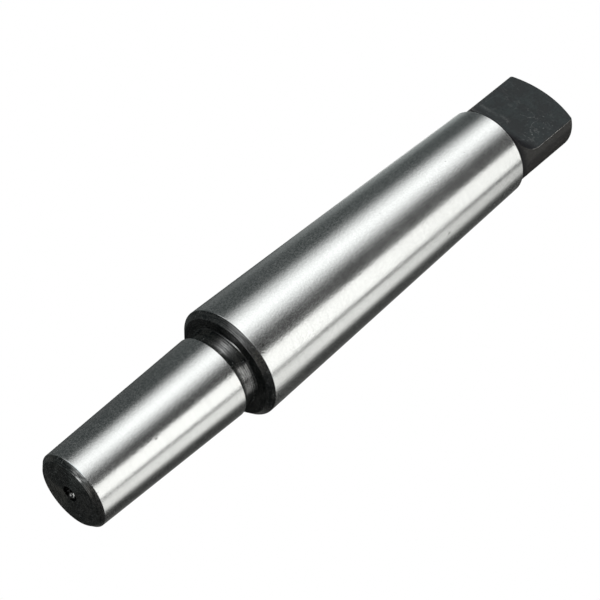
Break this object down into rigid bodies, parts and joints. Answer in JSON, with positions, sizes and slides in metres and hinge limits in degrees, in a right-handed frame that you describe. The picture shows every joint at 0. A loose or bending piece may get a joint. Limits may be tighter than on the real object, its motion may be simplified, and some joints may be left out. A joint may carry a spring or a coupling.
{
  "type": "drill chuck arbor",
  "caption": "One-piece steel arbor: a short taper for a drill chuck, a narrow neck, a long self-holding taper for the spindle and a flat driving tang.",
  "frame": {"origin": "centre of the small flat end face, on which the arbor stands", "axes": "+Z along the arbor's axis from the small end up to the tang; the tang's flats face +Y and -Y; +X completes the right-handed frame"},
  "size_m": [0.024, 0.024, 0.1408],
  "materials": {
    "steel": "ground tapers, dark turned and milled ends"
  },
  "bodies": {
    "root": {"arbor": "steel"}
  },
  "joints": []
}
